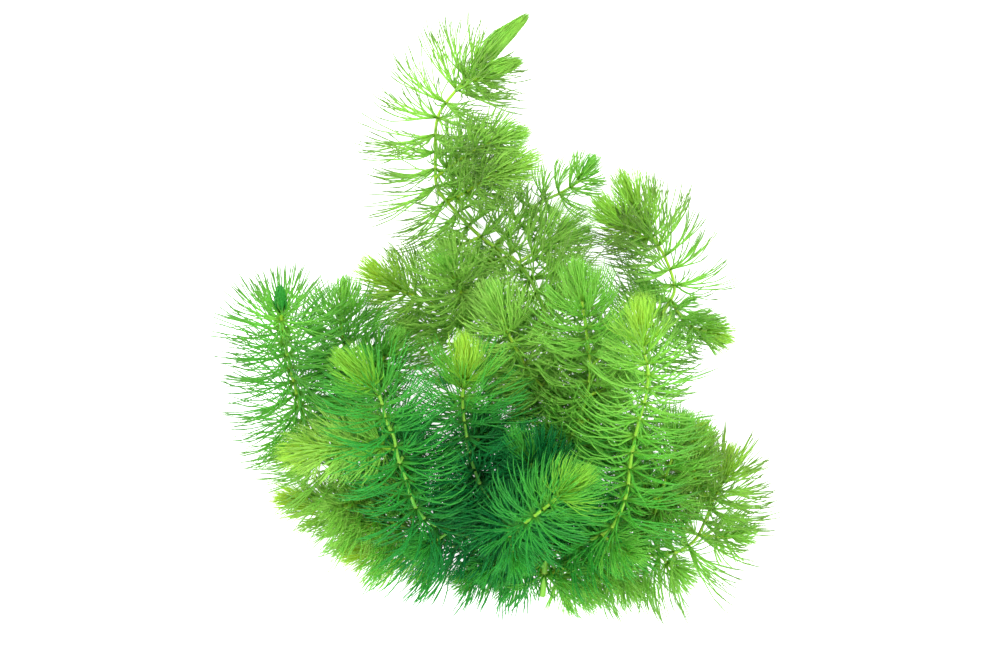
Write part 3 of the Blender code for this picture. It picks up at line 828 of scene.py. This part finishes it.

# How strongly the looks show. Of pairs the first is the least, or for roots that of young leaves, and the
# second what is added outside the bush, taken off by age and painted shade, or added by mottling.
LEAF_LETS_THROUGH = 0.5
LEAF_MOTTLE = 0.22
OLIVE_TIPS = (0.08, 0.6)
OLD_TIPS_GREENER = 0.4
YELLOW_YOUTH = 0.75
PALE_ROOTS = (0.6, 0.5)
BROWN_NODES = (0.35, 0.5)
NOISE_ROUGHNESS = 0.55


def colour4(colour):
    return (*colour, 1.0)


def grey(level):
    return (level, level, level)


def leaf_green():
    """Yellow-green young leaves to blue-green old ones, mottled, with dull olive tips. The same greens also
    give painted shade, darker, in the heart of the bush and in some places, and painted light, paler, in
    others.
    """
    look = Look("leaf_green", RIPE)
    place = look.place()
    mottle = look.noise(place, scale=260.0, detail=3.0)
    fine = look.noise(place, scale=2200.0, detail=2.0)
    age, along = look.attribute("age"), look.attribute("along")
    mottled = age + LEAF_MOTTLE * (mottle - 0.5)
    # Painted shade and light: the age value is raised in the heart of the bush and around some places, where
    # leaves are painted darker, and lowered around others, where they are painted paler.
    green = look.ramp(mottled, [(0.0, YOUNG), (0.33, FRESH), (0.62, RIPE), (1.0, OLD)])
    green = look.mix(1.0, green, look.ramp(fine, [(0.3, grey(0.78)), (0.7, WHITE)]), "MULTIPLY")
    least, outside = OLIVE_TIPS
    tips = look.fading(along, [(0.42, BLACK), (0.85, WHITE)])
    tips = tips * (least + outside * look.attribute("outside")) * (1.0 - OLD_TIPS_GREENER * age)
    green = look.mix(tips, green, colour4(OLIVE))
    yellow = look.attribute("youth") * (1.0 - along) * YELLOW_YOUTH
    green = look.mix(yellow.clamped(), green, colour4(YELLOW))
    young, darkening = PALE_ROOTS
    roots = look.fading(along, [(0.0, WHITE), (0.17, BLACK)]) * (young - darkening * age)
    green = look.mix(roots, green, colour4(STEM_LIGHT))
    look.let_through(LEAF_LETS_THROUGH, green)
    return look.finish(
        base_color=green,
        roughness=0.42 + 0.16 * fine,
        normal=look.bump(fine, strength=0.25, distance=0.0001),
        specular_ior_level=0.25,
    )


def stem_green():
    """A translucent yellow-green stem with fine streaks along it and browner nodes, darker green where it is
    older and, as painted shade, in the heart of the bush.
    """
    look = Look("stem_green", STEM_LIGHT)
    across = look.node("ShaderNodeAttribute", {"attribute_name": "stem_place"}, {}, "Vector")
    streaks = look.noise(across, scale=5.0, detail=3.0)
    mottle = look.noise(look.place(), scale=180.0, detail=2.0)
    # Painted shade: the age value of stems is raised in the heart of the bush, so they are painted a darker
    # green there.
    green = look.mix(look.attribute("age"), colour4(STEM_LIGHT), colour4(STEM_OLD))
    dark = look.ramp(streaks, [(0.35, STREAK), (0.65, WHITE)])
    green = look.mix(1.0, green, dark, "MULTIPLY")
    least, mottling = BROWN_NODES
    brown = look.attribute("node") * (least + mottling * mottle)
    green = look.mix(brown.clamped(), green, colour4(NODE_BROWN))
    return look.finish(
        base_color=green,
        roughness=0.34 + 0.2 * mottle,
        normal=look.bump(streaks, strength=0.35, distance=0.00015),
        specular_ior_level=0.25,
    )


def cut_pith():
    """The pale sunken cut, speckled with darker air canals."""
    look = Look("cut_pith", PITH)
    cells = look.noise(look.place(), scale=2600.0, detail=2.0)
    return look.finish(
        base_color=look.ramp(cells, [(0.35, PITH_RING), (0.6, PITH)]),
        roughness=0.55 + 0.2 * cells,
        normal=look.bump(cells, strength=0.4, distance=0.0002),
    )


# The leafy pieces

CROWD_STEP = 8
CROWD_REACH = 22.0
CROWD_LENGTH = 150.0
HEART = (-4.0, 29.5)
HEART_REACH = 28.0
HEART_TOP = 50.0
HEART_FADE = 25.0
OUTSIDE_FROM = 50.0
OUTSIDE_FADE = 32.0
INNER_OUTSIDE = 0.25

# How old leaves and stems look by the age of their shoot, down along it and in the heart of the bush, where
# the darker colour is partly older leaves and partly painted shade
LEAF_AGEING_AND_SHADE = (0.6, 0.2, 0.65)
STEM_AGEING_AND_SHADE = (0.7, 0.5, 0.6)
AGEING_LENGTH = 35.0
OPEN_YELLOW = 0.5
OPEN_YELLOW_FADE = 5.0
BUD_YELLOW = (0.5, 0.9)
CORE_YELLOW = 0.5
STREAKS_ROUND = 2.0
STREAKS_ALONG = 0.12
FIRST_SEED = 500

# Where in the plan leaves look younger, so paler, as painted light, or older if the last number is negative,
# so darker, as painted shade, and how far round it
LIT_AND_SHADED_PLACES = (
    ((-62.0, 16.0), 26.0, 0.6), ((4.0, 92.0), 32.0, 0.38), ((33.0, 58.0), 18.0, 0.2),
    ((73.0, 30.0), 20.0, 0.2), ((-23.0, 56.0), 19.0, -0.35), ((31.0, 80.0), 13.0, -0.25),
    ((-68.0, 60.0), 26.0, -0.15), ((17.0, 18.0), 18.0, -0.25), ((-4.0, 134.0), 22.0, 0.25),
    ((43.0, 112.0), 16.0, 0.2),
)


def numbers_on(mesh, name, values, kind="FLOAT"):
    attribute = mesh.attributes.new(name, kind, "POINT")
    key = "value" if kind == "FLOAT" else "vector"
    attribute.data.foreach_set(key, np.ascontiguousarray(values, np.float32).ravel())


def off_the_floor(corners):
    """Leaves that would dip below the surface bend and lie along it."""
    z = corners[:, 2]
    lifted = FLOOR_GAP + FLOOR_SOFTNESS * np.logaddexp(0.0, (z - FLOOR_GAP) / FLOOR_SOFTNESS)
    near = z < FLOOR_GAP + FLOOR_BEND
    corners[near, 2] = lifted[near]
    return corners


def crowding(stem, run, stems):
    """How deep inside the bush a place on a stem is, from 0 to 1, by the stems round about it."""
    place = stem.at([run])[0][0]
    near = sum(
        int((np.linalg.norm(other.places[::CROWD_STEP] - place, axis=1) < CROWD_REACH).sum())
        for other in stems.values() if other is not stem
    )
    return min(1.0, near * ROUTE_STEP * CROWD_STEP / CROWD_LENGTH)


def from_heart(places):
    """How far places are from the heart of the bush, as seen from above."""
    return np.linalg.norm(places[..., :2] - HEART, axis=-1)


def shaded_heart_nearness(places):
    """How near places are to the dark heart of the bush, from 0 to 1, whose darkness is partly older leaves
    and partly painted shade.
    """
    away = from_heart(places) / HEART_REACH
    under = 1 - np.clip((places[..., 2] - HEART_TOP) / HEART_FADE, 0, 1)
    return under * np.exp(-away * away)


def age_and_shade_at(places, ageing, shoot_age, grown):
    """How old the plant looks at places, by its shoot, by growth and by the heart of the bush, where it is
    darker partly from age and partly as painted shade.
    """
    by_shoot, by_growth, heart_age_and_shade = ageing
    return by_shoot * shoot_age + by_growth * grown + heart_age_and_shade * shaded_heart_nearness(places)


def young_look(name, shoot_age):
    """How old the young leaves of a shoot look, and how yellow they are."""
    return YOUNG_LOOKS.get(name, (0.5 * shoot_age, 1.0))


def leaves_of(name, stem, parent, rng):
    """The open leaves of a shoot, those of its bud, and where its open whorls stand."""
    _, bud, size, shoot_age, closed, _ = SHOOTS[name]
    lowest = parent.radius(parent.nearest_run(stem.places[0])) + BARE_FORK if parent else BARE_CUT_END
    drawn_out, wider, count = OPEN_SHOOTS.get(name, (1.0, 0.0, WHORL_LEAVES))
    nodes = whorl_runs(stem, lowest, bud[0], drawn_out, closed)
    young_age, yellow = young_look(name, shoot_age)
    open_leaves = Leaves()
    for whorl, run in enumerate(nodes):
        below = stem.length - bud[0] - run
        age = leaf_age_and_shade(stem, run, below, shoot_age)
        length, opening, arch, width = open_leaf(run, below, size)
        opening += wider + rng.uniform(*SLACK_CHANCE)
        leaf = (length * rng.uniform(*WHORL_CHANCE), opening, arch - wider, width)
        youth = OPEN_YELLOW * yellow * math.exp(-below / OPEN_YELLOW_FADE)
        more = round(HEART_LEAVES * shaded_heart_nearness(stem.at([run])[0][0]))
        add_whorl(open_leaves, stem, run, whorl, count + more, leaf, 1.0, age, youth, rng)
    young_leaves = Leaves()
    bud_count = THIN_BUD_LEAVES if name in THIN_BUDS else BUD_LEAVES
    add_bud(young_leaves, stem, bud, closed, bud_count, young_age, yellow, rng)
    return open_leaves, young_leaves, nodes


def leaf_age_and_shade(stem, run, below_bud, shoot_age):
    """How old the leaves of a whorl look, with painted shade in the heart of the bush. In a few places they
    are paler as painted light, and in others darker as painted shade.
    """
    place = stem.at([run])[0][0]
    age = age_and_shade_at(place, LEAF_AGEING_AND_SHADE, shoot_age, 1 - math.exp(-below_bud / AGEING_LENGTH))
    # Painted light and shade: around these places leaves are made younger, so paler, or older, so darker.
    for middle, reach, share in LIT_AND_SHADED_PLACES:
        age -= share * math.exp(-(math.dist(place[:2], middle) / reach) ** 2)
    return age


def add_bud(leaves, stem, bud, closed, count, age, yellow, rng):
    """The whorls of young leaves at the tip of a shoot, the inner ones more closed and yellower."""
    bud_length, bud_radius = bud
    first_yellow, more_yellow = BUD_YELLOW
    for whorl, above in enumerate(np.arange(BUD_WHORL_START, BUD_LEAVES_END * bud_length, BUD_WHORL_STEP)):
        outer = 1 - above / (BUD_LEAVES_END * bud_length)
        loose = (1 - closed) * (1 - BRUSH_HEART * (1 - outer))
        freedom = BUD_FREEDOM + (BRUSH_FREEDOM - BUD_FREEDOM) * loose
        leaf = bud_leaf(above, bud_length, bud_radius, outer, loose)
        run = stem.length - bud_length + above
        youth = (first_yellow + more_yellow * above / bud_length) * yellow
        add_whorl(leaves, stem, run, whorl, count, leaf, freedom, age, youth, rng)


def grow_twigs(stem, bud_length, nodes, stems, taken, rng):
    """Short side twigs on the crowded part of a shoot, each towards where there is most room."""
    twigs = []
    for whorl, run in enumerate(nodes):
        place, way, side, other = (v[0] for v in stem.at([run]))
        crowd = crowding(stem, run, stems)
        every = THICKET_EVERY if crowd > TWIG_THICKET else TWIG_EVERY
        if whorl % every or stem.length - bud_length - run < TWIG_FREE:
            continue
        if crowd < TWIG_CROWD or from_heart(place) > TWIG_REACH:
            continue
        length = TWIG_LENGTH * rng.uniform(*TWIG_LENGTH_CHANCE)
        lean = math.radians(TWIG_LEAN + rng.uniform(*TWIG_LEAN_CHANCE))
        turns = np.linspace(0, 2 * math.pi, TWIG_SIDES, endpoint=False) + rng.uniform(*TWIG_TURN_CHANCE)
        best_room, best_out = 0.0, None
        for turn in turns:
            out = math.cos(turn) * side + math.sin(turn) * other
            tip = place + length * (math.cos(lean) * way + math.sin(lean) * out)
            if not TWIG_LOWEST < tip[2] < TWIG_HIGHEST:
                continue
            room = np.linalg.norm((np.array(taken) - tip) * TWIG_PLAN, axis=1).min()
            room -= TWIG_UPWARD * max(0.0, tip[2] - place[2])
            if room > best_room:
                best_room, best_out = room, out
        if best_out is None:
            continue
        forward = math.cos(lean) * way + math.sin(lean) * best_out
        tip = place + length * unit(forward + TWIG_BEND * way)
        twig = Stem([tip, place + TWIG_KNEE * length * forward, place])
        taken.extend(twig.places[::CROWD_STEP])
        twigs.append(twig)
    return twigs


def twig_leaves(twig, leaves, age, rng):
    """A twig's whorls and its small brush of young leaves. Returns where its whorls stand."""
    bud_length = TWIG_BUD[0]
    nodes = whorl_runs(twig, BARE_FORK, bud_length)
    for whorl, run in enumerate(nodes):
        length, opening, arch, width = open_leaf(OLD_LENGTH, twig.length - bud_length - run, TWIG_LEAF_SIZE)
        length *= rng.uniform(*TWIG_WHORL_CHANCE)
        leaf = (length, opening + rng.uniform(*SLACK_CHANCE), arch, width)
        add_whorl(leaves, twig, run, whorl, TWIG_LEAVES, leaf, 1.0, age, 0.0, rng)
    add_bud(leaves, twig, TWIG_BUD, TWIG_CLOSED, THIN_BUD_LEAVES, TWIG_YOUNG_AGE * age, 0.0, rng)
    return nodes


def add_whorl(leaves, stem, run, whorl, count, leaf, freedom, age, youth, rng):
    """Leaves evenly round the stem, turned a little from those of the whorl below."""
    place, way, side, other = (v[0] for v in stem.at([run]))
    radius = float(stem.radius(run)) * LEAF_INSET
    for i in range(count):
        angle = math.radians(whorl * TWIST_PER_WHORL + 360 * i / count + rng.uniform(*TURN_CHANCE))
        out = math.cos(angle) * side + math.sin(angle) * other
        leaves.add(place + radius * out, way, out, leaf, freedom, age, youth, rng)


def joined_stems(stem_parts):
    """The stem of a shoot and those of its twigs as one mesh, with the values for their colours."""
    corners, faces, nears, tones, places, cuts, cores = [], [], [], [], [], [], []
    first = 0
    for mesh, length, part_age_and_shade, bud_length, bud_tone in stem_parts:
        part_corners, part_faces, near, run_at, cut_faces = mesh
        in_bud = run_at > length - bud_length
        cuts += [len(faces) + i for i in cut_faces]
        cores += [len(faces) + i for i, face in enumerate(part_faces) if in_bud[list(face)].all()]
        faces += [[k + first for k in face] for face in part_faces]
        corners.append(part_corners)
        nears.append(near)
        grown = np.clip((length - run_at) / THICKENING_LENGTH, 0, 1)
        # Stems are painted darker in the heart of the bush as painted shade, through their age value.
        age = np.clip(age_and_shade_at(part_corners, STEM_AGEING_AND_SHADE, part_age_and_shade, grown), 0, 1)
        tones.append(np.where(in_bud[:, None], bud_tone, np.column_stack([age, 0 * age, 0 * age])))
        turns = np.arange(len(part_corners)) % STEM_SIDES * 2 * math.pi / STEM_SIDES
        round_stem = np.column_stack([np.cos(turns), np.sin(turns)]) * STREAKS_ROUND
        places.append(np.column_stack([round_stem, run_at * STREAKS_ALONG]))
        first += len(part_corners)
    return np.vstack(corners), faces, np.concatenate(nears), np.vstack(tones), np.vstack(places), cuts, cores


def grow_shoot(name, stems, patterns, taken):
    """The meshes of a shoot's open and young leaves, and its stem joined with those of its twigs."""
    stem, parent = stems[name], stems.get(SHOOTS[name][0])
    rng = np.random.default_rng(FIRST_SEED + list(SHOOTS).index(name))
    _, bud, _, shoot_age, closed, _ = SHOOTS[name]
    open_leaves, young_leaves, nodes = leaves_of(name, stem, parent, rng)
    young_age, yellow = young_look(name, shoot_age)
    bud_tone = (young_age, CORE_ALONG, CORE_YELLOW * yellow)
    mesh = stem_mesh(stem, parent, nodes, bud, closed)
    stem_parts = [(mesh, stem.length, shoot_age, bud[0], bud_tone)]
    for twig in grow_twigs(stem, bud[0], nodes, stems, taken, rng):
        age = TWIG_AGE + leaf_age_and_shade(twig, 0.5 * twig.length, 0.0, shoot_age)
        bud_tone = (TWIG_YOUNG_AGE * age, CORE_ALONG, 0.0)
        twig_nodes = twig_leaves(twig, young_leaves, age, rng)
        mesh = stem_mesh(twig, stem, twig_nodes, TWIG_BUD, TWIG_CLOSED)
        stem_parts.append((mesh, twig.length, age, TWIG_BUD[0], bud_tone))
    open_pattern, young_pattern = patterns
    open_part = leaf_meshes(open_leaves, open_pattern)
    young_part = leaf_meshes(young_leaves, young_pattern)
    return open_part, young_part, joined_stems(stem_parts)


def leafy_piece(name, stems, patterns, looks, taken):
    """One shoot's mesh: its leaves, its twigs and its stem, under one name."""
    open_part, young_part, stem_part = grow_shoot(name, stems, patterns, taken)
    open_corners, open_faces, open_tones = open_part
    young_corners, young_faces, young_tones = young_part
    stem_corners, stem_faces, node_near, stem_tones, stem_places, cut_faces, core_faces = stem_part
    corners = off_the_floor(np.vstack([open_corners, young_corners, stem_corners]))
    leaf_faces = np.vstack([open_faces, young_faces + len(open_corners)])
    first = len(corners) - len(stem_corners)
    faces = leaf_faces.tolist() + [[k + first for k in face] for face in stem_faces]
    mesh = bpy.data.meshes.new(name + "_leafy")
    mesh.from_pydata((corners - CENTRE) * MM, [], faces)
    for look in looks:
        mesh.materials.append(look)
    leaf_slot, stem_slot, cut_slot = range(len(looks))
    slots = np.full(len(faces), leaf_slot, np.int32)
    slots[len(leaf_faces):] = stem_slot
    slots[len(leaf_faces) + np.array(cut_faces, int)] = cut_slot
    slots[len(leaf_faces) + np.array(core_faces, int)] = leaf_slot
    mesh.polygons.foreach_set("material_index", slots)
    age, along, youth = np.vstack([open_tones, young_tones, stem_tones]).T
    outside = np.clip((from_heart(corners) - OUTSIDE_FROM) / OUTSIDE_FADE, 0, 1)
    if name in THIN_BUDS:
        outside *= INNER_OUTSIDE
    node = np.exp(-(node_near / NODE_TINT_REACH) ** 2)
    # The age values hold painted shade and painted light as well as the age of the leaves and stems.
    numbers_on(mesh, "age", np.clip(age, 0, 1))
    numbers_on(mesh, "along", along)
    numbers_on(mesh, "youth", youth)
    numbers_on(mesh, "outside", outside)
    numbers_on(mesh, "node", np.concatenate([np.zeros(first), node]))
    numbers_on(mesh, "stem_place", np.vstack([np.zeros((first, 3)), stem_places]), "FLOAT_VECTOR")
    mesh.shade_smooth()
    mesh.validate()
    piece = bpy.data.objects.new(name + "_leafy", mesh)
    bpy.context.scene.collection.objects.link(piece)
    return piece


# The stage: a white floor, softly lit through as a light table is, under an even white sky

FLOOR_HALF = 3.0
FLOOR_GREYS = (0.58, 0.6, 0.62)
FLOOR_GLOW = 1.0
SKY_STRENGTH = 2.56

# The lights: place and size in metres, power in watts
KEY_LIGHT = ((-0.5, 0.6, 1.1), 0.7, 13.0)
FILL_LIGHT = ((0.7, -0.4, 0.9), 0.9, 7.5)


def make_floor():
    mesh = bpy.data.meshes.new("floor")
    corners = [(x * FLOOR_HALF, y * FLOOR_HALF, 0) for x, y in ((-1, -1), (1, -1), (1, 1), (-1, 1))]
    mesh.from_pydata(corners, [], [(0, 1, 2, 3)])
    floor = bpy.data.objects.new("floor", mesh)
    bpy.context.scene.collection.objects.link(floor)
    dark, middle, light = (grey(level) for level in FLOOR_GREYS)
    look = Look("floor_white", middle)
    grain = look.noise(look.place(), scale=30.0, detail=2.0)
    mesh.materials.append(look.finish(
        base_color=look.ramp(grain, [(0.0, dark), (1.0, light)]),
        roughness=0.9,
        specular_ior_level=0.1,
        emission_color=colour4(WHITE),
        emission_strength=FLOOR_GLOW,
    ))


def make_light(name, place, size, power):
    light = bpy.data.lights.new(name, "AREA")
    light.shape = "SQUARE"
    light.size = size
    light.energy = power
    lamp = bpy.data.objects.new(name, light)
    lamp.location = place
    lamp.rotation_mode = "QUATERNION"
    lamp.rotation_quaternion = Vector(place).to_track_quat("Z", "Y")
    bpy.context.scene.collection.objects.link(lamp)


def make_world():
    world = bpy.data.worlds.new("studio")
    world.use_nodes = True
    background = world.node_tree.nodes["Background"]
    background.inputs["Color"].default_value = colour4(WHITE)
    background.inputs["Strength"].default_value = SKY_STRENGTH
    bpy.context.scene.world = world


# The camera: a pixel in millimetres, the photograph's size and the routes' origin in it in pixels, and
# the height above the surface at which a pixel has that size
PIXEL = 0.32
PHOTO_WIDTH, PHOTO_HEIGHT = 1000, 666
ORIGIN_COLUMN, ORIGIN_ROW = 497, 566
MIDDLE_HEIGHT = 31.0
CAMERA_HEIGHT = 2500.0
CLIP_END = 10.0
SENSOR = 36.0


def make_camera():
    """Straight above the plant, which lies with the photograph's upward direction along +Y."""
    data = bpy.data.cameras.new("camera")
    data.sensor_width = SENSOR
    data.lens = SENSOR * CAMERA_HEIGHT / (PHOTO_WIDTH * PIXEL)
    data.clip_end = CLIP_END
    camera = bpy.data.objects.new("camera", data)
    x = (PHOTO_WIDTH / 2 - ORIGIN_COLUMN) * PIXEL - CENTRE[0]
    y = (ORIGIN_ROW - PHOTO_HEIGHT / 2) * PIXEL - CENTRE[1]
    camera.location = (x * MM, y * MM, (MIDDLE_HEIGHT + CAMERA_HEIGHT) * MM)
    bpy.context.scene.collection.objects.link(camera)
    bpy.context.scene.camera = camera


def main():
    stems = grow_stems()
    patterns = (LeafPattern(young=False), LeafPattern(young=True))
    looks = (leaf_green(), stem_green(), cut_pith())
    taken = [place for stem in stems.values() for place in stem.places[::CROWD_STEP]]
    for name in SHOOTS:
        piece = leafy_piece(name, stems, patterns, looks, taken)
        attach(piece, BODY)
        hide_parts(name)
    make_floor()
    make_world()
    make_light("key_light", *KEY_LIGHT)
    make_light("fill_light", *FILL_LIGHT)
    make_camera()
    bpy.context.scene.view_settings.view_transform = "Standard"


main()
